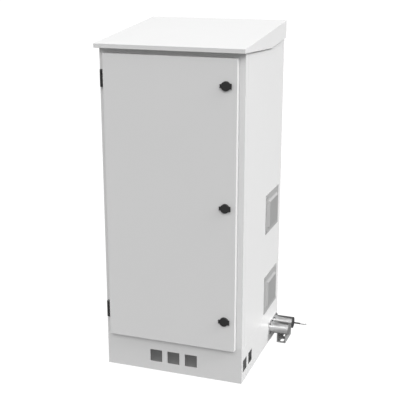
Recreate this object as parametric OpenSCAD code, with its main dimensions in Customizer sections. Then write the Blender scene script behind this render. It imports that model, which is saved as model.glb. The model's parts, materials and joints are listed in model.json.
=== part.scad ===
// Roadside utility cabinet: folded sheet-steel body on a vented plinth, with a
// single overlay door, a mono-pitch rain roof, two hooded side vents and a pair
// of rod cylinders flanged to the foot of the right-hand wall.
// X runs to the right, Y to the back and Z up. The origin is at floor level,
// midway between the four floor fixing holes.

/* [Cabinet] */
// Width of the body
body_w = 700; // [560:1:900]
// Depth of the body without the door
body_d = 670; // [600:1:850]
// Height of the body's flat top above the floor
body_h = 1600; // [1350:1:2000]
// Height of the plinth
plinth_h = 175; // [165:1:260]
// Thickness of the folded steel sheet
sheet = 2; // [1.5:0.1:3]

/* [Frame] */
// Width of a front corner post, seen from the side
front_post_side = 41; // [34:1:60]
// Width of a rear corner post, seen from the side
rear_post_side = 37; // [30:1:60]
// Width of a post's front or rear leg
post_face = 55; // [46:1:80]
// Depth of the rain lip around the door opening
lip_depth = 22; // [15:1:26]
// Width of the inner flange that a wall panel lies on
landing_w = 20; // [12:1:30]
// Height of the lower front and rear rails above the floor pan
low_rail_h = 25; // [18:1:50]

/* [Roof] */
// Overhang of the roof in front of the body
roof_front_over = 42; // [38:1:80]
// Overhang of the roof at each side
roof_side_over = 9; // [5:1:40]
// Overhang of the roof behind the body
roof_rear_over = 5; // [4:1:60]
// Height of the roof's front edge above the body's top
roof_front_up = 4; // [4:1:20]
// Rise of the roof from its front edge to its rear edge
roof_rise = 69; // [50:1:140]
// Height of the roof's front flange
roof_front_lip = 20; // [14:1:40]
// Height of the roof's rear flange
roof_rear_lip = 86; // [60:1:120]
// How far the side flange's lower edge dips below its front end
roof_side_dip = 22; // [0:1:30]
// Place of that dip, behind the middle of the body
roof_dip_y = 70; // [0:1:150]

/* [Door] */
// Margin of body face left showing beside the door
door_margin = 29; // [26:1:40]
// Distance of the door's lower edge above the plinth
door_low = 3; // [2:1:6]
// Distance of the door's upper edge below the body's top
door_high = 39; // [36:1:80]
// Distance of the door's outer face in front of the body
door_face = 32; // [28:1:45]
// Gap between the door's returns and the body
door_gap = 3; // [2.5:0.1:4]
// Width of the foam gasket
gasket_w = 14; // [8:1:18]
// Width of a door stiffener
stiffener_w = 60; // [40:1:90]

/* [Hinges] */
// Length of a hinge
hinge_len = 80; // [60:1:120]
// Distance of the upper hinge's middle below the door's upper edge
hinge_down = 117; // [80:1:300]
// Height of the lower hinge's middle above the door's lower edge
hinge_up = 124; // [80:1:300]
// Distance of the hinge axis outside the door's edge
hinge_out = 15; // [14:1:18]
// Distance of the hinge axis in front of the body
hinge_front = 13; // [12:1:16]
// Radius of a hinge knuckle
knuckle_r = 8; // [7:0.5:9]
// Radius of a hinge pin
hinge_pin_r = 3; // [2:0.5:4]

/* [Locks] */
// Distance of the locks from the door's free edge
lock_in = 50; // [46:1:70]
// Distance of the upper lock below the door's upper edge
lock_down = 120.5; // [90:0.5:300]
// Height of the lower lock above the door's lower edge
lock_up = 150.5; // [90:0.5:300]
// Radius of a lock's housing and dust cap
lock_r = 21.5; // [20:0.5:24]
// Height of a lock's housing above the door
lock_h = 8; // [6:0.5:12]
// Thickness of a dust cap
cap_t = 3.5; // [2.5:0.5:5]
// Reach of a cam from its spindle
cam_reach = 47; // [44:1:52]
// Width of a cam
cam_w = 18; // [14:1:22]

/* [Vents] */
// Side of a square plinth vent
plinth_vent = 63; // [40:1:66]
// Distance between neighbouring plinth vents
plinth_vent_pitch = 91; // [86:1:110]
// Height of the plinth vents' middle above the floor
plinth_vent_z = 78; // [60:1:110]
// Distance of the first side vent's middle behind the front corner
side_vent_in = 54; // [50:1:80]
// Width of a vent hood
hood_w = 234; // [200:1:250]
// Height of a vent hood
hood_h = 204; // [180:1:240]
// Distance of a vent hood's rear edge from the back of the body
hood_back = 52; // [44:1:90]
// Height of the upper hood's middle above the floor
hood_high_z = 738; // [600:1:1200]
// Height of the lower hood's middle above the floor
hood_low_z = 304; // [295:1:420]
// Projection of a hood's face from the wall
hood_out = 12; // [8:1:30]
// Width of a hood's flat flange
hood_flange = 30; // [20:1:40]

/* [Cylinders] */
// Outer radius of a cylinder barrel
barrel_r = 29.5; // [24:0.5:31]
// Length of a cylinder from the wall to its end cap's face
cylinder_len = 105; // [90:1:150]
// Distance of a square wall flange's sides outside the barrel
flange_out = 2.5; // [1:0.5:5]
// Distance between the two cylinder axes
cylinder_pitch = 90; // [74:1:100]
// Distance of the rear cylinder's axis from the back of the body
cylinder_back = 54; // [40:1:90]
// Height of the cylinder axes above the floor
cylinder_z = 76; // [70:1:100]
// Radius of a piston rod
rod_r = 4; // [3:0.5:6]
// Stroke of a piston rod
rod_stroke = 71; // [40:1:72]
// Length of the thread on a rod's tip
rod_thread = 33; // [15:1:36]
// Width of the foot bracket, along the cylinders
foot_w = 47; // [30:1:60]
// Distance of the foot bracket from the wall
foot_out = 43; // [35:1:50]
// Length of the foot bracket, across the cylinders
foot_len = 128; // [110:1:150]
// Half the width of a foot bracket's anchor slot
foot_hole_r = 10; // [5:0.5:11]
// Length of an anchor slot from end to end
foot_slot_len = 36; // [24:1:40]
// Distance between the middles of the anchor slots
foot_hole_pitch = 66; // [50:1:70]

/* [Fittings] */
// Distance of the mounting plate from each side of the body
mount_plate_side = 80; // [60:1:150]
// Height of the mounting plate's lower edge above the floor pan
mount_plate_low = 90; // [60:1:300]
// Distance of the mounting plate's upper edge below the top of the body
mount_plate_high = 93; // [60:1:300]
// Distance of the mounting plate's face from the back of the body
mount_plate_back = 85; // [60:1:200]
// Distance of a DIN rail's end from the mounting plate's side
din_in = 30; // [10:1:80]
// Width of the gland plate
gland_plate_w = 400; // [300:1:440]
// Depth of the gland plate
gland_plate_d = 260; // [200:1:300]
// Radius of a gland hole
gland_r = 16; // [10:0.5:20]
// Radius of a floor fixing hole
floor_hole_r = 7; // [5:0.5:9]

/* [Hidden] */

$fn = 48;
slip = 0.05;                 // radial clearance of a running fit
clear = 0.3;                 // gap between faces that move past each other

half_w = body_w / 2;
half_d = body_d / 2;
front = -half_d;             // plane of the body's front
back = half_d;               // plane of the body's back
frame_low = plinth_h + sheet;
top_z = body_h;
rear_rail_h = 40;

// Plinth
plinth_flange = 40;
floor_hole_in = 50;          // floor hole's distance from the side of the plinth
floor_hole_deep = 22;        // and from its front or back

// Door and opening
door_x = half_w - door_margin;
door_z0 = plinth_h + door_low;
door_z1 = top_z - door_high;
door_front = front - door_face;
door_back = front - door_gap;
open_x = half_w - post_face;
open_z0 = frame_low + low_rail_h;
door_over = 24;              // the door's cover over the upper edge of the opening
open_z1 = door_z1 - door_over;
gasket_t = door_face - sheet - lip_depth - clear;

// Hinges
hinge_x = -door_x - hinge_out;
hinge_y = front - hinge_front;
hinge_zs = [door_z1 - hinge_down, door_z0 + hinge_up];
leaf_t = 3;

// Locks
lock_x = door_x - lock_in;
lock_top = door_z1 - lock_down;
lock_low = door_z0 + lock_up;
lock_zs = [lock_top, (lock_top + lock_low) / 2, lock_low];
neck_r = 11;
spindle_r = 7;
head_r = 13;
nut_t = 5;
cam_t = 3;
cap_axis_x = lock_x - lock_r - 3;
cap_y = door_front - lock_h - clear;         // back of the dust cap
cap_axis_y = cap_y - cap_t / 2;
cap_pin_r = 1.25;
cap_knuckle_r = 2.6;
cap_ear = 4;                 // half the knuckle's length
cap_tab_w = 25;
cap_tab_out = 6.5;

// Vents
vent_cut_w = 150;
vent_cut_h = 120;
filter_border = 20;
filter_t = 10;
grille_t = 1.5;
hood_y = back - hood_back - hood_w / 2;
hood_zs = [hood_high_z, hood_low_z];
hood_plate = 3;
hood_bevel = 12;
hood_sheet = 1.5;

// Cylinders
cyl_ys = [back - cylinder_back - cylinder_pitch, back - cylinder_back];
flange_t = 5;
flange_side = 2 * (barrel_r + flange_out);
flange_screw_in = 7;
bore_r = barrel_r - 3;
cap_disc = 4;
spigot = 6;
piston_t = 12;
cyl_end = half_w + cylinder_len;
foot_t = 3;
foot_y = (cyl_ys[0] + cyl_ys[1]) / 2;
foot_leg_h = cylinder_z - 14;

// Fittings
rail_leg = 50;
rail_in = 110;                // mount rail's middle, inside the mounting plate's edge
plate_face = back - mount_plate_back;
plate_z0 = frame_low + mount_plate_low;
plate_z1 = top_z - mount_plate_high;
plate_x = half_w - mount_plate_side;
gland_y = -30;
gland_border = 20;            // how far the gland plate laps over the floor pan

function span(middle, half) = [middle - half, middle + half];

module box3(x, y, z) {
    translate([x[0], y[0], z[0]]) cube([x[1] - x[0], y[1] - y[0], z[1] - z[0]]);
}

// A (y, z) outline drawn out along X
module along_x(x) {
    translate([x[0], 0, 0]) rotate([90, 0, 90]) linear_extrude(x[1] - x[0]) children();
}

// An (x, z) outline drawn out along Y
module along_y(y) {
    translate([0, y[1], 0]) rotate([90, 0, 0]) linear_extrude(y[1] - y[0]) children();
}

module along_z(z) {
    translate([0, 0, z[0]]) linear_extrude(z[1] - z[0]) children();
}

module rod_x(x, y, z, r) {
    translate([x[0], y, z]) rotate([0, 90, 0]) cylinder(h = x[1] - x[0], r = r);
}

module rod_y(x, y, z, r) {
    translate([x, y[0], z]) rotate([-90, 0, 0]) cylinder(h = y[1] - y[0], r = r);
}

module mirrored_x(left) {
    if (left) mirror([1, 0, 0]) children();
    else children();
}

// ---------------------------------------------------------------- plinth

module floor_holes(y) {
    for (s = [-1, 1])
        translate([s * (half_w - floor_hole_in), y, -1]) cylinder(h = sheet + 2, r = floor_hole_r);
}

module plinth_face_wall(back_side) {
    s = back_side ? 1 : -1;
    wall = back_side ? [back - sheet, back] : [front, front + sheet];
    flange = back_side ? [back - plinth_flange, back - sheet] : [front + sheet, front + plinth_flange];
    difference() {
        union() {
            box3([-half_w, half_w], wall, [0, plinth_h]);
            box3(span(0, half_w - sheet), flange, [0, sheet]);
            box3(span(0, half_w - sheet), flange, [plinth_h - sheet, plinth_h]);
        }
        floor_holes(s * (half_d - floor_hole_deep));
        if (!back_side)
            for (i = [-1, 0, 1])
                box3(span(i * plinth_vent_pitch, plinth_vent / 2), [front - 1, front + sheet + 1],
                     span(plinth_vent_z, plinth_vent / 2));
    }
}

module plinth_side_wall() {
    wall_y = [front + sheet, back - sheet];
    flange_y = [front + plinth_flange + 1, back - plinth_flange - 1];
    difference() {
        union() {
            box3([half_w - sheet, half_w], wall_y, [0, plinth_h]);
            box3([half_w - plinth_flange, half_w - sheet], flange_y, [0, sheet]);
            box3([half_w - plinth_flange, half_w - sheet], flange_y, [plinth_h - sheet, plinth_h]);
        }
        for (i = [0, 1])
            box3([half_w - sheet - 1, half_w + 1],
                 span(front + side_vent_in + i * plinth_vent_pitch, plinth_vent / 2),
                 span(plinth_vent_z, plinth_vent / 2));
    }
}

module plinth_front() { color("gainsboro") plinth_face_wall(false); }
module plinth_rear() { color("gainsboro") plinth_face_wall(true); }
module plinth_left() { color("gainsboro") mirror([1, 0, 0]) plinth_side_wall(); }

module plinth_right() {
    color("gainsboro")
    difference() {
        plinth_side_wall();
        flange_screw_holes(half_w - sheet - 1, half_w + 1);
    }
}

module floor_pan() {
    color("gainsboro")
    difference() {
        box3([-half_w, half_w], [front, back], [plinth_h, frame_low]);
        box3(span(0, gland_plate_w / 2 - gland_border), span(gland_y, gland_plate_d / 2 - gland_border),
             [plinth_h - 1, frame_low + 1]);
    }
}

module gland_places() {
    for (ix = [-1, 0, 1])
        for (iy = [-1, 1])
            translate([ix * gland_plate_w / 4, gland_y + iy * gland_plate_d / 5, frame_low]) children();
}

module gland_plate() {
    color("silver")
    difference() {
        box3(span(0, gland_plate_w / 2), span(gland_y, gland_plate_d / 2), [frame_low, frame_low + sheet]);
        gland_places() translate([0, 0, -1]) cylinder(h = sheet + 2, r = gland_r);
    }
}

module gland_plugs() {
    color("dimgray")
    gland_places() {
        translate([0, 0, -3]) cylinder(h = sheet + 3, r = gland_r - slip);
        translate([0, 0, sheet]) cylinder(h = 4, r = gland_r + 4);
    }
}

// ----------------------------------------------------------------- frame

// A corner post at the positive-X side: outer legs and a stepped flange that
// the wall panel lies on. dir is 1 for a front post and -1 for a rear one.
module post_outline(y0, dir, side) {
    s = sheet;
    polygon([
        [half_w, y0], [half_w, y0 + dir * side],
        [half_w - s, y0 + dir * side], [half_w - s, y0 + dir * (side + landing_w)],
        [half_w - 2 * s, y0 + dir * (side + landing_w)], [half_w - 2 * s, y0 + dir * (side - s)],
        [half_w - s, y0 + dir * (side - s)], [half_w - s, y0 + dir * s],
        [open_x, y0 + dir * s], [open_x, y0]
    ]);
}

module front_post(left) {
    mirrored_x(left) {
        along_z([frame_low, top_z]) post_outline(front, 1, front_post_side);
        box3([open_x, open_x + sheet], [front - lip_depth, front + sheet],
             [open_z0 - sheet, open_z1 + sheet]);
    }
}

// The rear post also has an inner flange for the rear panel
module rear_post(left) {
    s = sheet;
    mirrored_x(left)
    along_z([frame_low, top_z]) {
        post_outline(back, -1, rear_post_side);
        polygon([
            [open_x + s, back - 2 * s], [open_x + s, back - s / 2], [open_x, back - s / 2],
            [open_x, back - s], [open_x - landing_w, back - s], [open_x - landing_w, back - 2 * s]
        ]);
    }
}

module post_front_left() { color("whitesmoke") front_post(true); }
module post_front_right() { color("whitesmoke") front_post(false); }
module post_rear_left() { color("whitesmoke") rear_post(true); }
module post_rear_right() { color("whitesmoke") rear_post(false); }

module front_rail(low, high, lip) {
    box3([-open_x, open_x], [front, front + sheet], [low, high]);
    box3([-open_x, open_x], [front - lip_depth, front + sheet], lip);
}

module rail_front_top() {
    color("whitesmoke") front_rail(open_z1, top_z, [open_z1, open_z1 + sheet]);
}

module rail_front_bottom() {
    color("whitesmoke") front_rail(frame_low, open_z0, [open_z0 - sheet, open_z0]);
}

// Rear rails lie inside the rear panel and join the rear posts
module rear_rail(z) {
    leg = 25;
    box3(span(0, open_x - landing_w), [back - 2 * sheet, back - sheet], z);
    box3(span(0, open_x - landing_w), [back - leg, back - 2 * sheet], [z[0], z[0] + sheet]);
}

module rail_rear_top() { color("whitesmoke") rear_rail([top_z - rear_rail_h, top_z]); }
module rail_rear_bottom() { color("whitesmoke") rear_rail([frame_low, frame_low + rear_rail_h]); }

module side_panel() {
    seam = 1;
    box3([half_w - sheet, half_w], [front + front_post_side + seam, back - rear_post_side - seam],
         [frame_low, top_z]);
}

module panel_left() { color("whitesmoke") mirror([1, 0, 0]) side_panel(); }

module panel_right() {
    color("whitesmoke")
    difference() {
        side_panel();
        for (z = hood_zs)
            box3([half_w - sheet - 1, half_w + 1], span(hood_y, vent_cut_w / 2), span(z, vent_cut_h / 2));
    }
}

module panel_rear() {
    color("whitesmoke") box3(span(0, open_x - 1), [back - sheet, back], [frame_low, top_z]);
}

module top_plate() {
    color("whitesmoke") box3([-half_w, half_w], [front, back], [top_z, top_z + sheet]);
}

// ------------------------------------------------------------------ roof

roof_y0 = front - roof_front_over;
roof_y1 = back + roof_rear_over;
roof_x = half_w + roof_side_over;
roof_z0 = top_z + roof_front_up;
roof_z1 = roof_z0 + roof_rise;
function roof_z(y) = roof_z0 + roof_rise * (y - roof_y0) / (roof_y1 - roof_y0);

// Side view of the whole roof, top edge sloped and lower edge dipped
module roof_side() {
    polygon([
        [roof_y0, roof_z0 - roof_front_lip], [roof_dip_y, roof_z0 - roof_front_lip - roof_side_dip],
        [roof_y1, roof_z1 - roof_rear_lip], [roof_y1, roof_z1], [roof_y0, roof_z0]
    ]);
}

module roof() {
    color("white")
    difference() {
        along_x([-roof_x, roof_x]) roof_side();
        along_x(span(0, roof_x - sheet))
            polygon([
                [roof_y0 + sheet, roof_z0 - roof_front_lip - 80],
                [roof_y1 - sheet, roof_z0 - roof_front_lip - 80],
                [roof_y1 - sheet, roof_z(roof_y1 - sheet) - sheet],
                [roof_y0 + sheet, roof_z(roof_y0 + sheet) - sheet]
            ]);
    }
}

// Two wedge-shaped hat brackets carry the roof above the top plate
module roof_brackets() {
    y0 = front + 60;
    y1 = back - 30;
    z0 = top_z + sheet;
    foot = 16;
    color("silver")
    for (s = [-1, 1])
        translate([s * body_w / 4, 0, 0]) {
            along_x(span(0, sheet / 2))
                polygon([[y0, z0], [y1, z0], [y1, roof_z(y1) - sheet], [y0, roof_z(y0) - sheet]]);
            box3(span(0, foot), [y0, y1], [z0, z0 + sheet]);
        }
}

// -------------------------------------------------------------- fittings

module mount_rails() {
    color("silver")
    for (z = [plate_z0 + rail_in, plate_z1 - rail_in])
        translate([0, 0, z])
        along_x(span(0, open_x - 4))
            polygon([
                [plate_face + sheet, -rail_leg / 2], [back - 2 * sheet, -rail_leg / 2],
                [back - 2 * sheet, -rail_leg / 2 + sheet], [plate_face + 2 * sheet, -rail_leg / 2 + sheet],
                [plate_face + 2 * sheet, rail_leg / 2 - sheet], [back - 2 * sheet, rail_leg / 2 - sheet],
                [back - 2 * sheet, rail_leg / 2], [plate_face + sheet, rail_leg / 2]
            ]);
}

module mounting_plate() {
    color("lightsteelblue")
    box3(span(0, plate_x), [plate_face, plate_face + sheet], [plate_z0, plate_z1]);
}

module din_rails() {
    d = 7.5;
    color("lightgray")
    for (z = [0.35, 0.6, 0.85])
        translate([0, 0, plate_z0 + z * (plate_z1 - plate_z0)])
        along_x(span(0, plate_x - din_in))
            polygon([
                [plate_face, -13.5], [plate_face - d + 1, -13.5], [plate_face - d + 1, -17.5],
                [plate_face - d, -17.5], [plate_face - d, -12.5], [plate_face - 1, -12.5],
                [plate_face - 1, 12.5], [plate_face - d, 12.5], [plate_face - d, 17.5],
                [plate_face - d + 1, 17.5], [plate_face - d + 1, 13.5], [plate_face, 13.5]
            ]);
}

// Copper bar on two stand-off posts, drilled for seven cable lugs
module earth_bar() {
    z = plate_z0 + 60;
    half = 100;
    post = 10;
    bar_y = [plate_face - post - 5, plate_face - post];
    lug_pitch = 22;
    lug_r = 3;
    color("peru") {
        difference() {
            box3(span(0, half), bar_y, span(z, 12));
            for (i = [-3:3]) rod_y(i * lug_pitch, [bar_y[0] - 1, bar_y[1] + 1], z, lug_r);
        }
        for (s = [-1, 1]) rod_y(s * (half - 12), [bar_y[1], plate_face], z, 8);
    }
}

// ----------------------------------------------------------------- vents

// A shallow cowl with bevelled top and sides and an open foot. shrink makes the
// same shape smaller all round, for the hollow inside it.
module cowl_solid(shrink) {
    w = hood_w / 2 - hood_flange - shrink;
    top = hood_h / 2 - hood_flange - shrink;
    low = shrink > 0 ? -hood_h : -hood_h / 2 + hood_flange;
    hull() {
        box3([half_w - 0.01, half_w], span(0, w), [low, top]);
        box3([half_w, half_w + hood_out - shrink], span(0, w - hood_bevel), [low, top - hood_bevel]);
    }
}

// Cowl on a flat flange that runs all round its window; air leaves by the slot
// between the cowl's foot and the flange's lower strip.
module hood(z) {
    window_low = -hood_h / 2 + hood_flange;
    translate([0, hood_y, z])
    difference() {
        union() {
            box3([half_w, half_w + hood_plate], span(0, hood_w / 2), span(0, hood_h / 2));
            intersection() {
                cowl_solid(0);
                box3([half_w, half_w + hood_out], span(0, hood_w), span(0, hood_h));
            }
        }
        difference() {
            cowl_solid(hood_sheet);
            box3([half_w - 1, half_w + hood_plate], span(0, hood_w), [-2 * hood_h, window_low]);
        }
    }
}

module hood_upper() { color("darkgray") hood(hood_zs[0]); }
module hood_lower() { color("darkgray") hood(hood_zs[1]); }

module hood_screws() {
    screw_in = 12;
    head_h = 2;
    color("gray")
    for (z = hood_zs)
        for (sy = [-1, 1])
            for (sz = [-1, 1])
                rod_x([half_w + hood_plate, half_w + hood_plate + head_h],
                      hood_y + sy * (hood_w / 2 - screw_in), z + sz * (hood_h / 2 - screw_in), 4);
}

module vent_grilles() {
    slots = 9;
    color("silver")
    for (z = hood_zs)
        difference() {
            box3([half_w - sheet - grille_t, half_w - sheet], span(hood_y, vent_cut_w / 2 + filter_border),
                 span(z, vent_cut_h / 2 + filter_border));
            for (i = [0 : slots - 1])
                box3([half_w - sheet - grille_t - 1, half_w], span(hood_y, vent_cut_w / 2 - 6),
                     span(z + (i - (slots - 1) / 2) * vent_cut_h / slots, 3));
        }
}

filter_x = half_w - sheet - grille_t;

module filter_mats() {
    color("lightgray")
    for (z = hood_zs)
        box3([filter_x - filter_t, filter_x], span(hood_y, vent_cut_w / 2), span(z, vent_cut_h / 2));
}

module filter_frames() {
    bar = 6;
    bay = (vent_cut_h - bar) / 4;
    color("dimgray")
    for (z = hood_zs)
        difference() {
            box3([filter_x - filter_t - 3, filter_x], span(hood_y, vent_cut_w / 2 + filter_border),
                 span(z, vent_cut_h / 2 + filter_border));
            box3([filter_x - filter_t, filter_x + 1], span(hood_y, vent_cut_w / 2),
                 span(z, vent_cut_h / 2));
            for (i = [0:3])
                box3([filter_x - filter_t - 4, filter_x], span(hood_y, vent_cut_w / 2 - 5),
                     span(z + (i - 1.5) * bay, (bay - bar) / 2));
        }
}

// ------------------------------------------------------------------ door

module door() {
    color("gainsboro")
    difference() {
        box3([-door_x, door_x], [door_front, door_back], [door_z0, door_z1]);
        box3(span(0, door_x - sheet), [door_front + sheet, door_back + 1],
             [door_z0 + sheet, door_z1 - sheet]);
        for (z = lock_zs) rod_y(lock_x, [door_front - 1, door_front + sheet + 1], z, neck_r + clear);
    }
}

module door_gasket() {
    y = [door_front + sheet, door_front + sheet + gasket_t];
    z0 = open_z0 - sheet / 2;
    z1 = open_z1 + sheet / 2;
    r = gasket_w / 2;
    mid_x = open_x + sheet / 2;
    color("dimgray")
    difference() {
        box3(span(0, mid_x + r), y, [z0 - r, z1 + r]);
        box3(span(0, mid_x - r), [y[0] - 1, y[1] + 1], [z0 + r, z1 - r]);
    }
}

module door_stiffeners() {
    y = door_front + sheet;
    d = 16;
    hat = stiffener_w / 4;
    foot = stiffener_w / 2;
    end_in = 90;
    cam_room = 20;               // keeps the inner stiffener out of the cams' reach
    color("gainsboro")
    for (x = [-door_x / 2, door_x / 2 - cam_room])
        translate([x, 0, 0])
        along_z([door_z0 + end_in, door_z1 - end_in])
            polygon([
                [-foot, y], [-hat, y], [-hat, y + d], [hat, y + d], [hat, y], [foot, y],
                [foot, y + sheet], [hat + sheet, y + sheet], [hat + sheet, y + d + sheet],
                [-hat - sheet, y + d + sheet], [-hat - sheet, y + sheet], [-foot, y + sheet]
            ]);
}

// Outline of one knuckle and its web in plan
module frame_knuckle() {
    translate([hinge_x, hinge_y]) circle(knuckle_r);
    translate([hinge_x - knuckle_r, hinge_y]) square([2 * knuckle_r, hinge_front - leaf_t + 0.01]);
}

module hinge_frame_leaves() {
    knuckle = hinge_len * 0.3;
    color("black")
    for (z = hinge_zs)
        difference() {
            union() {
                box3([hinge_x - knuckle_r - 1, -door_x - 2], [front - leaf_t, front],
                     span(z, hinge_len / 2));
                for (s = [-1, 1])
                    along_z(span(z + s * (hinge_len - knuckle) / 2, knuckle / 2))
                        frame_knuckle();
            }
            translate([hinge_x, hinge_y, z - hinge_len]) cylinder(h = 2 * hinge_len, r = hinge_pin_r);
        }
}

module hinge_door_leaves() {
    half = hinge_len * 0.2 - clear;
    color("black")
    for (z = hinge_zs)
        difference() {
            union() {
                along_z(span(z, half)) {
                    translate([hinge_x, hinge_y]) circle(knuckle_r);
                    translate([hinge_x, hinge_y - knuckle_r]) square([hinge_out, 6]);
                }
                box3([-door_x - leaf_t, -door_x], [door_front + 3, door_back - 3], span(z, hinge_len / 2));
            }
            translate([hinge_x, hinge_y, z - hinge_len])
                cylinder(h = 2 * hinge_len, r = hinge_pin_r + slip);
        }
}

module hinge_pins() {
    color("dimgray")
    for (z = hinge_zs)
        translate([hinge_x, hinge_y, z - hinge_len / 2]) cylinder(h = hinge_len, r = hinge_pin_r);
}

// ----------------------------------------------------------------- locks

module lock_housings() {
    color("black")
    for (z = lock_zs)
        difference() {
            union() {
                rod_y(lock_x, [door_front - lock_h, door_front], z, lock_r);
                rod_y(lock_x, [door_front - 1, door_front + sheet + nut_t + 8], z, neck_r);
                for (s = [-1, 1])
                    box3([cap_axis_x - cap_knuckle_r, lock_x - lock_r + 3],
                         [cap_axis_y - cap_knuckle_r, door_front - 3],
                         span(z + s * (cap_ear + 2 + clear / 2), 2 - clear / 2));
            }
            rod_y(lock_x, [door_front - lock_h - 1, door_front - 2], z, head_r + slip);
            rod_y(lock_x, [door_front - 3, door_front + 30], z, spindle_r + slip);
            translate([cap_axis_x, cap_axis_y, z - 20]) cylinder(h = 40, r = cap_pin_r);
        }
}

module lock_nuts() {
    color("silver")
    for (z = lock_zs)
        translate([lock_x, door_front + sheet, z]) rotate([-90, 0, 0])
        difference() {
            cylinder(h = nut_t, r = neck_r + 4.5, $fn = 6);
            translate([0, 0, -1]) cylinder(h = nut_t + 2, r = neck_r);
        }
}

module lock_cap_pins() {
    color("dimgray")
    for (z = lock_zs)
        translate([cap_axis_x, cap_axis_y, z - cap_ear - 4]) cylinder(h = 2 * cap_ear + 8, r = cap_pin_r);
}

// Round dust cap with a square finger tab opposite its knuckle
module lock_cap(z) {
    color("black")
    translate([0, 0, z])
    difference() {
        union() {
            rod_y(lock_x, [cap_y - cap_t, cap_y], 0, lock_r);
            box3([lock_x, lock_x + lock_r + cap_tab_out], [cap_y - cap_t, cap_y],
                 span(0, cap_tab_w / 2));
            translate([cap_axis_x, cap_axis_y, -cap_ear])
                cylinder(h = 2 * cap_ear, r = cap_knuckle_r - clear);
            box3([cap_axis_x, lock_x - lock_r + 3], [cap_y - cap_t, cap_y], [-cap_ear, cap_ear]);
        }
        translate([cap_axis_x, cap_axis_y, -20]) cylinder(h = 40, r = cap_pin_r + slip);
        for (s = [-1, 1])
            box3([cap_axis_x - 10, lock_x - lock_r + 4 + clear], [cap_y - cap_t - 1, cap_y + 1],
                 span(s * (cap_ear + 2.5), 2.5));
    }
}

module lock_cap_top() { lock_cap(lock_zs[0]); }
module lock_cap_middle() { lock_cap(lock_zs[1]); }
module lock_cap_bottom() { lock_cap(lock_zs[2]); }

// Spindle with a square drive peg sunk in the housing, and the cam on its inner end
module lock_cam(z) {
    cam_y = front + sheet + 0.6;
    drive = 8;
    drive_h = 3.4;
    head_y = door_front - lock_h + 3.9;
    color("silver")
    translate([0, 0, z]) {
        union() {
            rod_y(lock_x, [head_y, door_front - 2 - slip], 0, head_r);
            box3(span(lock_x, drive / 2), [head_y - drive_h, head_y], span(0, drive / 2));
            rod_y(lock_x, [door_front - 3, cam_y + cam_t], 0, spindle_r);
            along_y([cam_y, cam_y + cam_t])
                translate([lock_x, 0]) {
                    circle(cam_w / 2 + 1);
                    translate([-cam_w / 2, -cam_reach]) square([cam_w, cam_reach]);
                }
            rod_y(lock_x, [cam_y + cam_t, cam_y + cam_t + 5], 0, 6);
        }
    }
}

module lock_cam_top() { lock_cam(lock_zs[0]); }
module lock_cam_middle() { lock_cam(lock_zs[1]); }
module lock_cam_bottom() { lock_cam(lock_zs[2]); }

// ------------------------------------------------------------- cylinders

module flange_screw_places() {
    reach = flange_side / 2 - flange_screw_in;
    for (y = cyl_ys)
        for (sy = [-1, 1])
            for (sz = [-1, 1])
                translate([0, y + sy * reach, cylinder_z + sz * reach]) children();
}

module flange_screw_holes(x0, x1) {
    flange_screw_places() rod_x([x0, x1], 0, 0, 3);
}

module cylinder_flanges() {
    color("silver")
    difference() {
        for (y = cyl_ys)
            box3([half_w, half_w + flange_t], span(y, flange_side / 2), span(cylinder_z, flange_side / 2));
        flange_screw_holes(half_w - 1, half_w + flange_t + 1);
    }
}

module cylinder_screws() {
    color("dimgray")
    flange_screw_places() {
        rod_x([half_w - sheet - 4, half_w + flange_t], 0, 0, 3 - slip);
        rod_x([half_w + flange_t, half_w + flange_t + 5], 0, 0, 4);
    }
}

module cylinder_barrels() {
    color("silver")
    for (y = cyl_ys)
        difference() {
            rod_x([half_w + flange_t, cyl_end - cap_disc], y, cylinder_z, barrel_r);
            rod_x([half_w + flange_t - 1, cyl_end], y, cylinder_z, bore_r);
        }
}

module cylinder_caps() {
    color("dimgray")
    for (y = cyl_ys)
        difference() {
            union() {
                rod_x([cyl_end - cap_disc, cyl_end], y, cylinder_z, barrel_r);
                rod_x([cyl_end - cap_disc - spigot, cyl_end - cap_disc], y, cylinder_z, bore_r - slip);
            }
            rod_x([cyl_end - 30, cyl_end + 1], y, cylinder_z, rod_r + slip);
        }
}

// Piston and rod, with the tip's thread cut as rings; out is how far it is drawn
module piston_rod(y, out) {
    tip = cyl_end + out;
    end_gap = 1;                 // between the piston and the end cap at full stroke
    piston_x = tip - rod_stroke - cap_disc - spigot - piston_t - end_gap;
    pitch = 1.5;
    thread_deep = 0.7;
    turns = floor(rod_thread / pitch);
    color("silver")
    translate([0, y, cylinder_z]) {
        rod_x([piston_x, piston_x + piston_t], 0, 0, bore_r - slip);
        rod_x([piston_x + piston_t, tip - rod_thread], 0, 0, rod_r);
        translate([tip - rod_thread, 0, 0]) rotate([0, 90, 0]) rotate_extrude()
            polygon(concat(
                [[0, 0]],
                [for (i = [0 : turns - 1], k = [0, 1])
                    [k == 0 ? rod_r - thread_deep : rod_r, (i + k / 2) * pitch]],
                [[rod_r - thread_deep - 0.3, rod_thread], [0, rod_thread]]
            ));
    }
}

module rod_near() { piston_rod(cyl_ys[0], 0); }
module rod_rear() { piston_rod(cyl_ys[1], rod_stroke); }

// A slot along Y, centred on the origin
module foot_slot(deep) {
    run = foot_slot_len / 2 - foot_hole_r;
    for (s = [-1, 1]) translate([0, s * run, 0]) cylinder(h = deep, r = foot_hole_r);
    box3(span(0, foot_hole_r), span(0, run), [0, deep]);
}

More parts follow.
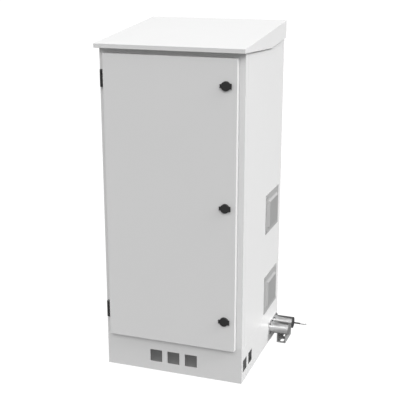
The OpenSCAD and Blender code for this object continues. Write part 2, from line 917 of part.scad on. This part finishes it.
// Channel that stands on the floor and cradles both barrels
module foot_bracket() {
    x = [half_w + foot_out, half_w + foot_out + foot_w];
    y = span(foot_y, foot_len / 2);
    color("gray")
    difference() {
        union() {
            box3(x, y, [0, foot_t]);
            box3([x[0], x[0] + foot_t], y, [0, foot_leg_h]);
            box3([x[1] - foot_t, x[1]], y, [0, foot_leg_h]);
        }
        for (cy = cyl_ys) rod_x([x[0] - 1, x[1] + 1], cy, cylinder_z, barrel_r + clear);
        for (s = [-1, 1])
            translate([(x[0] + x[1]) / 2, foot_y + s * foot_hole_pitch / 2, -1]) foot_slot(foot_t + 2);
    }
}

module wall_plate() {
    color("gray")
    box3([half_w, half_w + foot_t], [cyl_ys[0], cyl_ys[1]], [2, cylinder_z - flange_side / 2]);
}

plinth_front();
plinth_rear();
plinth_left();
plinth_right();
floor_pan();
gland_plate();
gland_plugs();
post_front_left();
post_front_right();
post_rear_left();
post_rear_right();
rail_front_top();
rail_front_bottom();
rail_rear_top();
rail_rear_bottom();
panel_left();
panel_right();
panel_rear();
top_plate();
roof_brackets();
roof();
mount_rails();
mounting_plate();
din_rails();
earth_bar();
hood_upper();
hood_lower();
hood_screws();
vent_grilles();
filter_mats();
filter_frames();
door();
door_gasket();
door_stiffeners();
hinge_frame_leaves();
hinge_door_leaves();
hinge_pins();
lock_housings();
lock_nuts();
lock_cap_pins();
lock_cap_top();
lock_cap_middle();
lock_cap_bottom();
lock_cam_top();
lock_cam_middle();
lock_cam_bottom();
cylinder_flanges();
cylinder_screws();
cylinder_barrels();
cylinder_caps();
rod_near();
rod_rear();
foot_bracket();
wall_plate();
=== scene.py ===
"""Roadside utility cabinet: finishes, small parts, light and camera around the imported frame."""

import json
import math

import bmesh
import bpy
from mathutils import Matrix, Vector, noise


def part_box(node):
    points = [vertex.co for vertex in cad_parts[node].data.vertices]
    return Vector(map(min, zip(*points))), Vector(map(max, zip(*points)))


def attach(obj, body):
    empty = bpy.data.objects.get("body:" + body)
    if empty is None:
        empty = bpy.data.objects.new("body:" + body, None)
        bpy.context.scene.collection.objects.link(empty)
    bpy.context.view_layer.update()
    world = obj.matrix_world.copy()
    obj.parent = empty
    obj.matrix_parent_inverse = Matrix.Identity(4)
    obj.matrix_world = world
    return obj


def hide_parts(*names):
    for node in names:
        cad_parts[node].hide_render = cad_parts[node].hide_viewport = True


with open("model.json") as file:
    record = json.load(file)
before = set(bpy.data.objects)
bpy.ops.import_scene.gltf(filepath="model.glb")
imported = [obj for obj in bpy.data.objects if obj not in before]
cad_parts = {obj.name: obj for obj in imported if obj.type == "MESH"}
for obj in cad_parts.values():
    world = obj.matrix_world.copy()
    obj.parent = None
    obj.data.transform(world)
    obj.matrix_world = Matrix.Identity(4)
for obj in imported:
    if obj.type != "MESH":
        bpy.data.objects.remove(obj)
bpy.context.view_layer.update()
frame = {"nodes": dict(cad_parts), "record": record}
NODES = frame["nodes"]
scene = bpy.context.scene


# ------------------------------------------------------------------ shader maths


class Value:
    """A node's output that takes part in sums; every sum or product adds a Math node."""

    def __init__(self, finish, socket):
        self.finish = finish
        self.socket = socket

    def math(self, operation, first, second):
        return self.finish.node("ShaderNodeMath", {"operation": operation}, {0: first, 1: second})

    def __add__(self, other):
        return self.math("ADD", self, other)

    def __radd__(self, other):
        return self.math("ADD", other, self)

    def __sub__(self, other):
        return self.math("SUBTRACT", self, other)

    def __rsub__(self, other):
        return self.math("SUBTRACT", other, self)

    def __mul__(self, other):
        return self.math("MULTIPLY", self, other)

    def __rmul__(self, other):
        return self.math("MULTIPLY", other, self)


def socket_name(key):
    """The name of a shader's socket, from a keyword: base_color gives Base Color."""
    return key.replace("_", " ").title().replace("Ior", "IOR")


class Finish:
    """One material. Its Principled shader's fixed numbers are given at the start."""

    def __init__(self, name, **fixed):
        self.material = bpy.data.materials.new(name)
        self.material.use_nodes = True
        self.tree = self.material.node_tree
        self.shader = next(n for n in self.tree.nodes if n.type == "BSDF_PRINCIPLED")
        for key, value in fixed.items():
            self.shader.inputs[socket_name(key)].default_value = value

    def node(self, kind, settings, inputs, output=0):
        made = self.tree.nodes.new(kind)
        for key, value in settings.items():
            if key == "stops":
                self.set_stops(made.color_ramp, value)
            else:
                setattr(made, key, value)
        for key, value in inputs.items():
            self.plug(made.inputs[key], value)
        return Value(self, made.outputs[output])

    def set_stops(self, ramp, stops):
        while len(ramp.elements) < len(stops):
            ramp.elements.new(0.5)
        for element, (place, colour) in zip(ramp.elements, stops):
            element.position = place
            element.color = (*colour, 1)

    def plug(self, socket, value):
        if isinstance(value, Value):
            self.tree.links.new(value.socket, socket)
        elif isinstance(value, tuple) and len(value) == 3 and socket.type == "RGBA":
            socket.default_value = (*value, 1)
        else:
            socket.default_value = value

    def along(self, axis):
        """The place on the part along one axis, in metres: 0 for X, 1 for Y, 2 for Z."""
        return self.node("ShaderNodeSeparateXYZ", {}, {0: self.place()}, axis)

    def above(self, value, limit):
        """1 where the value is over the limit, else 0."""
        return self.node("ShaderNodeMath", {"operation": "GREATER_THAN"}, {0: value, 1: limit})

    def place(self, stretch=(1, 1, 1)):
        """The point on the part, in metres, stretched along each axis."""
        point = self.node("ShaderNodeTexCoord", {}, {}, "Object")
        return self.node("ShaderNodeVectorMath", {"operation": "MULTIPLY"}, {0: point, 1: stretch})

    def noise(self, scale, detail=2.0, rough=0.5, stretch=(1, 1, 1)):
        inputs = {"Vector": self.place(stretch), "Scale": scale}
        inputs.update({"Detail": detail, "Roughness": rough})
        return self.node("ShaderNodeTexNoise", {}, inputs)

    def cells(self, scale, output="Distance"):
        inputs = {"Vector": self.place(), "Scale": scale}
        return self.node("ShaderNodeTexVoronoi", {}, inputs, output)

    def blend(self, share, first, second):
        """A colour between first and second."""
        return self.node("ShaderNodeMix", {"data_type": "RGBA"}, {0: share, 6: first, 7: second}, 2)

    def wear(self, **varying):
        """Links what changes over the surface to the shader."""
        for key, value in varying.items():
            self.plug(self.shader.inputs[socket_name(key)], value)

    def bump(self, height, strength, distance):
        inputs = {"Height": height, "Strength": strength, "Distance": distance}
        self.plug(self.shader.inputs["Normal"], self.node("ShaderNodeBump", {}, inputs))


def tint(colour, share):
    """The colour times a share, which may be above one."""
    return tuple(part * share for part in colour)


# ------------------------------------------------------------------ finishes


def powder_coat(name, colour, rough=0.42, peel=0.35):
    """Baked powder paint: fine orange peel, a breath of tone and gloss change."""
    finish = Finish(name, ior=1.45)
    tone = finish.noise(2.3, 3.0)
    fine = finish.noise(520.0, 1.0)
    finish.wear(
        base_color=finish.blend(tone, tint(colour, 0.985), tint(colour, 1.015)),
        roughness=finish.noise(14.0, 4.0) * 0.06 + (rough - 0.03) + (fine - 0.5) * 0.04,
    )
    finish.bump(fine + finish.noise(160.0, 2.0) * 1.5, peel, 0.00012)
    return finish.material


def hood_coat_with_painted_shade(name, colour, face_x):
    """Satin grey on the hoods; painted shade darkens the pressed-out face, painted light lifts its
    flange.
    """
    finish = Finish(name, ior=1.45)
    # painted shade: 1 on the pressed-out face, painted darker; 0 on the flange and bevels, painted
    # lighter
    face = finish.above(finish.along(0), face_x)
    fine = finish.noise(420.0, 2.0)
    finish.wear(
        base_color=finish.blend(face, tint(colour, 1.06), tint(colour, 0.9)),
        roughness=0.44 + fine * 0.08,
    )
    finish.bump(fine, 0.25, 0.0001)
    return finish.material


def zinc_sheet(name, colour=(0.55, 0.56, 0.57)):
    """Zinc-plated sheet with faint spangle and rolling lines."""
    finish = Finish(name, metallic=1.0)
    flake = finish.cells(90.0, "Color")
    flake_tone = finish.node("ShaderNodeSeparateColor", {}, {0: flake}, 0)
    rolled = finish.noise(60.0, 3.0, stretch=(1, 1, 12))
    finish.wear(
        base_color=finish.blend(flake_tone, tint(colour, 0.88), tint(colour, 1.1)),
        roughness=0.34 + flake_tone * 0.12 + rolled * 0.08,
    )
    finish.bump(rolled, 0.12, 0.0001)
    return finish.material


def drawn_steel(name, colour, rough, stretch, lines=420.0, streak=0.02, depth=0.05):
    """Turned or drawn metal with fine lines across the stretched axis."""
    finish = Finish(name, metallic=1.0)
    line = finish.noise(lines, 2.0, 0.6, stretch)
    cloud = finish.noise(18.0, 3.0)
    finish.wear(
        base_color=finish.blend(line, tint(colour, 1 - streak), tint(colour, 1 + streak)),
        roughness=rough + line * streak + cloud * 0.04,
    )
    finish.bump(line, depth, 0.00004)
    return finish.material


def end_cap_steel_with_painted_shade(name, near, rear, split_y):
    """Turned end caps: the one by the wall's rear corner is painted darker than the other, as
    painted shade.
    """
    finish = Finish(name, metallic=0.6)
    # painted shade: 1 on the rear cap, which gets the darker grey
    painted_shade_rear = finish.above(finish.along(1), split_y)
    grain = finish.noise(240.0, 3.0)
    finish.wear(
        base_color=finish.blend(painted_shade_rear, near, rear),
        roughness=0.42 + grain * 0.14,
    )
    finish.bump(grain, 0.12, 0.00006)
    return finish.material


def rod_steel(name, shank, thread, thread_x):
    """An oiled dark rod whose cut thread is bright."""
    finish = Finish(name, metallic=1.0)
    cut = finish.above(finish.along(0), thread_x)
    line = finish.noise(300.0, 2.0, 0.6, (1, 0.2, 0.2))
    finish.wear(base_color=finish.blend(cut, shank, thread), roughness=0.26 + line * 0.08)
    finish.bump(line, 0.05, 0.00004)
    return finish.material


def moulded_plastic(name, colour, rough=0.45, grain=0.3):
    """Moulded plastic with a fine spark-eroded grain."""
    finish = Finish(name, ior=1.5)
    grit = finish.noise(900.0, 2.0, 0.7)
    finish.wear(
        base_color=finish.blend(finish.noise(40.0, 2.0), tint(colour, 0.92), tint(colour, 1.08)),
        roughness=rough + grit * 0.12,
    )
    finish.bump(grit, grain, 0.00008)
    return finish.material


def foam_rubber(name, colour):
    """Closed-cell foam skin with small pores."""
    finish = Finish(name, ior=1.5)
    pore = finish.cells(700.0)
    finish.wear(
        base_color=finish.blend(pore, tint(colour, 0.7), tint(colour, 1.3)),
        roughness=0.78 + pore * 0.12,
    )
    finish.bump(pore, 0.4, 0.0002)
    return finish.material


def fleece(name, colour):
    """Loose bonded fibres."""
    finish = Finish(name, roughness=0.95, sheen_weight=0.25)
    fibre = finish.noise(260.0, 6.0, 0.75, (1, 1, 0.35))
    cross = finish.noise(260.0, 6.0, 0.75, (1, 0.35, 1))
    mesh = fibre * 0.5 + cross * 0.5
    finish.wear(base_color=finish.blend(mesh, tint(colour, 0.62), tint(colour, 1.1)))
    finish.bump(mesh, 0.9, 0.0012)
    return finish.material


def bare_copper(name, colour):
    """Drawn copper bar, a little dulled."""
    finish = Finish(name, metallic=1.0)
    line = finish.noise(300.0, 2.0, 0.6, (0.05, 1, 1))
    stain = finish.noise(22.0, 4.0)
    finish.wear(
        base_color=finish.blend(stain, tint(colour, 0.7), tint(colour, 1.1)),
        roughness=0.3 + stain * 0.2 + line * 0.06,
    )
    finish.bump(line, 0.15, 0.00008)
    return finish.material


LIGHT_GREY = (0.6, 0.6, 0.6)
FACE_SKIN = 0.0006  # metres behind the front of a hood that still belong to its face
hood_face_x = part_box("hood_upper")[1].x
FINISHES = {
    "body_paint": powder_coat("light_grey_coat", LIGHT_GREY),
    # the roof's grey is painted 1% lighter than the body's: painted light for its lit top
    "roof_paint": powder_coat("roof_coat", tint(LIGHT_GREY, 1.01)),
    "door_paint": powder_coat("door_coat", LIGHT_GREY),
    "zinc_steel": zinc_sheet("zinc_plate"),
    "hood_steel": hood_coat_with_painted_shade("mid_grey_coat", (0.3, 0.3, 0.3), hood_face_x - FACE_SKIN),
    "copper": bare_copper("copper_bar", (0.78, 0.42, 0.26)),
    "grey_plastic": moulded_plastic("grey_moulding", (0.09, 0.092, 0.095), 0.5),
    "filter_fleece": fleece("filter_fibre", (0.75, 0.75, 0.72)),
    "gasket_foam": foam_rubber("black_foam", (0.02, 0.02, 0.02)),
    "black_metal": powder_coat("black_coat", (0.022, 0.022, 0.022), 0.42, 0.4),
    "black_plastic": moulded_plastic("black_moulding", (0.011, 0.011, 0.011), 0.45),
    "cylinder_steel": drawn_steel("bright_steel", (0.6, 0.6, 0.6), 0.25, (1, 0.05, 0.05)),
    "dark_steel": drawn_steel(
        "oxide_steel", (0.12, 0.12, 0.125), 0.4, (0.4, 1, 1), lines=200.0, streak=0.1, depth=0.15
    ),
}
THREAD_LENGTH = 0.033  # metres of cut thread at a rod's tip
ROD_GREY = (0.1, 0.1, 0.1)
THREAD_GREY = (0.6, 0.6, 0.6)
flange_low, flange_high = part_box("cylinder_flanges")
rear_tip_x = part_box("rod_rear")[1].x
near_tip_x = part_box("rod_near")[1].x
OWN_FINISHES = {
    "foot_bracket": powder_coat("bracket_grey", (0.27, 0.27, 0.27), 0.5, 0.3),
    "wall_plate": powder_coat("plate_grey", LIGHT_GREY, 0.5, 0.3),
    # the rear cap's darker grey is painted shade
    "cylinder_caps": end_cap_steel_with_painted_shade(
        "turned_cap", (0.3, 0.3, 0.3), (0.09, 0.09, 0.09), (flange_low.y + flange_high.y) / 2
    ),
    "rod_rear": rod_steel("rear_rod", ROD_GREY, THREAD_GREY, rear_tip_x - THREAD_LENGTH),
    "rod_near": rod_steel("near_rod", ROD_GREY, THREAD_GREY, near_tip_x - THREAD_LENGTH),
}


def dress(node, material):
    """Gives every slot of a node's mesh one material."""
    mesh = NODES[node].data
    for index in range(max(1, len(mesh.materials))):
        if index < len(mesh.materials):
            mesh.materials[index] = material
        else:
            mesh.materials.append(material)


for part in frame["record"]["subparts"]:
    node = part["node"]
    dress(node, OWN_FINISHES.get(node) or FINISHES[part["material_slot"]])


# ------------------------------------------------------------------ softened edges


SAME_POINT = 0.00001  # metres: points this close are one
SAME_PLANE = 0.5  # degrees: facets this close to flat are one face


def soften(node, width, segments=2, angle=35):
    """Rounds a node's folds and cut edges a little, as bent and painted sheet has."""
    body = NODES[node]
    weld = body.modifiers.new("weld", "WELD")
    weld.merge_threshold = SAME_POINT
    flat = body.modifiers.new("flat", "DECIMATE")
    flat.decimate_type = "DISSOLVE"
    flat.angle_limit = math.radians(SAME_PLANE)
    bevel = body.modifiers.new("edge", "BEVEL")
    bevel.width = width
    bevel.segments = segments
    bevel.limit_method = "ANGLE"
    bevel.angle_limit = math.radians(angle)
    bevel.harden_normals = True
    bevel.use_clamp_overlap = True


for folded in (
    "plinth_front", "plinth_left", "plinth_right", "plinth_rear", "floor_pan", "panel_left",
    "panel_right", "panel_rear", "post_front_left", "post_front_right", "post_rear_left",
    "post_rear_right", "top_plate",
):
    soften(folded, 0.0006)
soften("door", 0.0012, 3)
soften("roof", 0.001, 3)
for hood in ("hood_upper", "hood_lower"):
    soften(hood, 0.0008, angle=20)
for piece in ("foot_bracket", "wall_plate"):
    soften(piece, 0.0006)
for piece in ("lock_housings", "hinge_frame_leaves", "hinge_door_leaves"):
    soften(piece, 0.0005)
for place in ("top", "middle", "bottom"):
    soften("lock_cap_" + place, 0.0008, 3)
    soften("lock_cam_" + place, 0.0004)


# ------------------------------------------------------------------ soft pieces


def piece_from(name, shape, material):
    """An object of its own from a closed shape, shaded smooth."""
    mesh = bpy.data.meshes.new(name)
    bmesh.ops.recalc_face_normals(shape, faces=shape.faces)
    shape.to_mesh(mesh)
    shape.free()
    for face in mesh.polygons:
        face.use_smooth = True
    mesh.materials.append(material)
    piece = bpy.data.objects.new(name, mesh)
    scene.collection.objects.link(piece)
    return piece


def round_corner_path(half_x, half_z, radius, steps):
    """Points of a rectangle with rounded corners, in (x, z), round its middle."""
    points = []
    for corner, (sx, sz) in enumerate(((1, 1), (-1, 1), (-1, -1), (1, -1))):
        for step in range(steps + 1):
            turn = math.radians(90 * (corner + step / steps))
            points.append(
                (
                    sx * (half_x - radius) + radius * math.cos(turn),
                    sz * (half_z - radius) + radius * math.sin(turn),
                )
            )
    return points


def foam_gasket():
    """A closed-cell bead on a flat foot, poured in one ring round the back of the door."""
    low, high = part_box("door_gasket")
    width = 0.014
    corner = 0.03
    steps = 10
    foot = 0.14  # of the thickness: the bead's square foot, on which its round back stands
    thick = high.y - low.y
    half_x = (high.x - low.x) / 2
    half_z = (high.z - low.z) / 2
    mid_x = (high.x + low.x) / 2
    mid_z = (high.z + low.z) / 2
    section = [(0.0, 0.0), (0.0, foot)]  # shares of the width and of the thickness
    for step in range(steps + 1):
        turn = math.pi * step / steps
        section.append((0.5 - 0.48 * math.cos(turn), 0.22 + 0.77 * math.sin(turn) ** 0.7))
    section += [(1.0, foot), (1.0, 0.0)]
    shape = bmesh.new()
    loops = []
    for across, up in section:
        inset = across * width
        path = round_corner_path(half_x - inset, half_z - inset, corner - inset, 8)
        loops.append(
            [shape.verts.new((mid_x + x, low.y + up * thick, mid_z + z)) for x, z in path]
        )
    for first, second in zip(loops, loops[1:] + loops[:1]):
        for i in range(len(first)):
            j = (i + 1) % len(first)
            shape.faces.new((first[i], first[j], second[j], second[i]))
    gasket = piece_from("gasket_bead", shape, FINISHES["gasket_foam"])
    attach(gasket, "door")
    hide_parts("door_gasket")


def filter_pads():
    """Two pads of loose fleece, dished a little where the frame's bars press them."""
    low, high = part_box("filter_mats")
    upper_low, upper_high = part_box("hood_upper")
    lower_low, lower_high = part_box("hood_lower")
    pitch_z = (upper_high.z + upper_low.z - lower_high.z - lower_low.z) / 2
    pad_half_z = (high.z - low.z - pitch_z) / 2
    fill = 0.985  # of the frame's room, across and up
    # shares of the half thickness
    rim = 0.45
    crown = 0.93
    pressed = 0.05
    uneven = 0.03
    lumps = 60  # to the metre
    half_y = (high.y - low.y) / 2
    mid_y = (high.y + low.y) / 2
    mid_x = (high.x + low.x) / 2
    half_x = (high.x - low.x) / 2
    columns, rows = 44, 36
    shape = bmesh.new()
    for mid_z in (high.z - pad_half_z, low.z + pad_half_z):
        sheets = []
        for side in (-1, 1):
            grid = []
            for i in range(columns + 1):
                line = []
                for k in range(rows + 1):
                    u = 2 * i / columns - 1
                    w = 2 * k / rows - 1
                    edge = (1 - abs(u) ** 10) * (1 - abs(w) ** 10)
                    quilt = crown + pressed * math.cos(w * 4 * math.pi)
                    y = mid_y + u * half_y * fill
                    z = mid_z + w * pad_half_z * fill
                    spot = Vector((y * lumps, z * lumps, mid_z * 7 + side * 3))
                    lump = uneven * noise.noise(spot)
                    depth = (rim + (quilt - rim + lump) * edge) * half_x
                    line.append(shape.verts.new((mid_x + side * depth, y, z)))
                grid.append(line)
            sheets.append(grid)
            for i in range(columns):
                for k in range(rows):
                    corners = (grid[i][k], grid[i + 1][k], grid[i + 1][k + 1], grid[i][k + 1])
                    shape.faces.new(corners)
        inner, outer = sheets
        border = [(i, 0) for i in range(columns)] + [(columns, k) for k in range(rows)]
        border += [(i, rows) for i in range(columns, 0, -1)]
        border += [(0, k) for k in range(rows, 0, -1)]
        for (i, k), (j, m) in zip(border, border[1:] + border[:1]):
            shape.faces.new((inner[i][k], inner[j][m], outer[j][m], outer[i][k]))
    pads = piece_from("filter_pads", shape, FINISHES["filter_fleece"])
    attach(pads, "cabinet")
    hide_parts("filter_mats")


foam_gasket()
filter_pads()


# ------------------------------------------------------------------ stage


def ground(name, half_x, half_y, height, colour, glow):
    """A flat patch of ground, lit a little by itself so that it stays pale."""
    mesh = bpy.data.meshes.new(name)
    shape = bmesh.new()
    bmesh.ops.create_grid(shape, x_segments=1, y_segments=1, size=1.0)
    bmesh.ops.scale(shape, vec=(half_x, half_y, 1), verts=shape.verts)
    shape.to_mesh(mesh)
    shape.free()
    patch = bpy.data.objects.new(name, mesh)
    patch.location.z = height
    scene.collection.objects.link(patch)
    surface = Finish(name, roughness=1.0, specular_ior_level=0.0)
    surface.plug(surface.shader.inputs["Base Color"], (colour, colour, colour))
    surface.plug(surface.shader.inputs["Emission Color"], (1.0, 1.0, 1.0))
    surface.plug(surface.shader.inputs["Emission Strength"], glow)
    mesh.materials.append(surface.material)
    return patch


FLOOR_HALF = 80.0
BASE_INSET = 0.004  # metres inside the plinth's walls
BASE_HEIGHT = 0.0008
plinth_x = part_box("plinth_front")[1].x
plinth_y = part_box("plinth_rear")[1].y
floor = ground("floor", FLOOR_HALF, FLOOR_HALF, 0.0, 0.05, 1.0)
floor.visible_diffuse = False
floor.visible_glossy = False
floor.visible_shadow = False
# painted shade: a dim patch inside the plinth, lit a little by its own glow, stands in for the
# shade under the cabinet seen through the vents
ground("painted_shade_under_plinth", plinth_x - BASE_INSET, plinth_y - BASE_INSET, BASE_HEIGHT, 0.3, 0.07)


class Studio(Finish):
    """The room's light: one pale surround for soft shade, and one for what metal mirrors."""

    def __init__(self):
        self.world = bpy.data.worlds.new("studio")
        self.world.use_nodes = True
        self.tree = self.world.node_tree
        self.out = next(n for n in self.tree.nodes if n.type == "OUTPUT_WORLD")

    def direction(self, axis):
        aim = self.node("ShaderNodeTexCoord", {}, {}, "Generated")
        return self.node("ShaderNodeSeparateXYZ", {}, {0: aim}, axis) * 0.5 + 0.5

    def fade(self, value, stops):
        greys = [(place, (grey, grey, grey)) for place, grey in stops]
        return self.node("ShaderNodeValToRGB", {"stops": greys}, {0: value})

    def glow(self, colour):
        return self.node("ShaderNodeBackground", {}, {0: colour, 1: 1.0})


# greys along an axis, from 0 at its low end to 1 at its high end
SHADE_BY_HEIGHT = ((0.0, 0.3), (0.46, 0.34), (0.54, 0.78), (1.0, 0.96))
MIRROR_BY_DEPTH = ((0.0, 1.0), (0.48, 1.0), (0.64, 0.12), (1.0, 0.1))
MIRROR_BY_HEIGHT = ((0.0, 0.45), (0.5, 0.5), (0.72, 0.7), (0.84, 1.1))

room = Studio()
scene.world = room.world
around = room.glow(room.fade(room.direction(2), SHADE_BY_HEIGHT))
behind = room.fade(room.direction(1), MIRROR_BY_DEPTH)
overhead = room.fade(room.direction(2), MIRROR_BY_HEIGHT)
product = {"data_type": "RGBA", "blend_type": "MULTIPLY"}
mirrored = room.glow(room.node("ShaderNodeMix", product, {0: 1.0, 6: behind, 7: overhead}, 2))
is_mirrored = room.node("ShaderNodeLightPath", {}, {}, "Is Glossy Ray")
both = room.node("ShaderNodeMixShader", {}, {0: is_mirrored, 1: around, 2: mirrored})
room.tree.links.new(both.socket, room.out.inputs["Surface"])


def soft_sun(name, energy, spread, towards):
    """A soft light from one direction; towards is where it stands, seen from the cabinet."""
    light = bpy.data.lights.new(name, "SUN")
    light.energy = energy
    light.angle = math.radians(spread)
    holder = bpy.data.objects.new(name, light)
    holder.rotation_euler = Vector(towards).to_track_quat("Z", "Y").to_euler()
    scene.collection.objects.link(holder)


soft_sun("front", 1.33, 30, (0.3, -0.8, 0.62))
soft_sun("side", 3.35, 36, (1.0, 0.05, 0.85))

lens = bpy.data.cameras.new("camera")
lens.sensor_width = 36.0
lens.lens = 78.14
camera = bpy.data.objects.new("camera", lens)
camera.location = (1.41753, -3.95627, 2.01760)
camera.rotation_euler = (math.radians(73.813), 0, math.radians(19.449))
scene.collection.objects.link(camera)
scene.camera = camera
scene.view_settings.view_transform = "Standard"
scene.view_settings.look = "None"
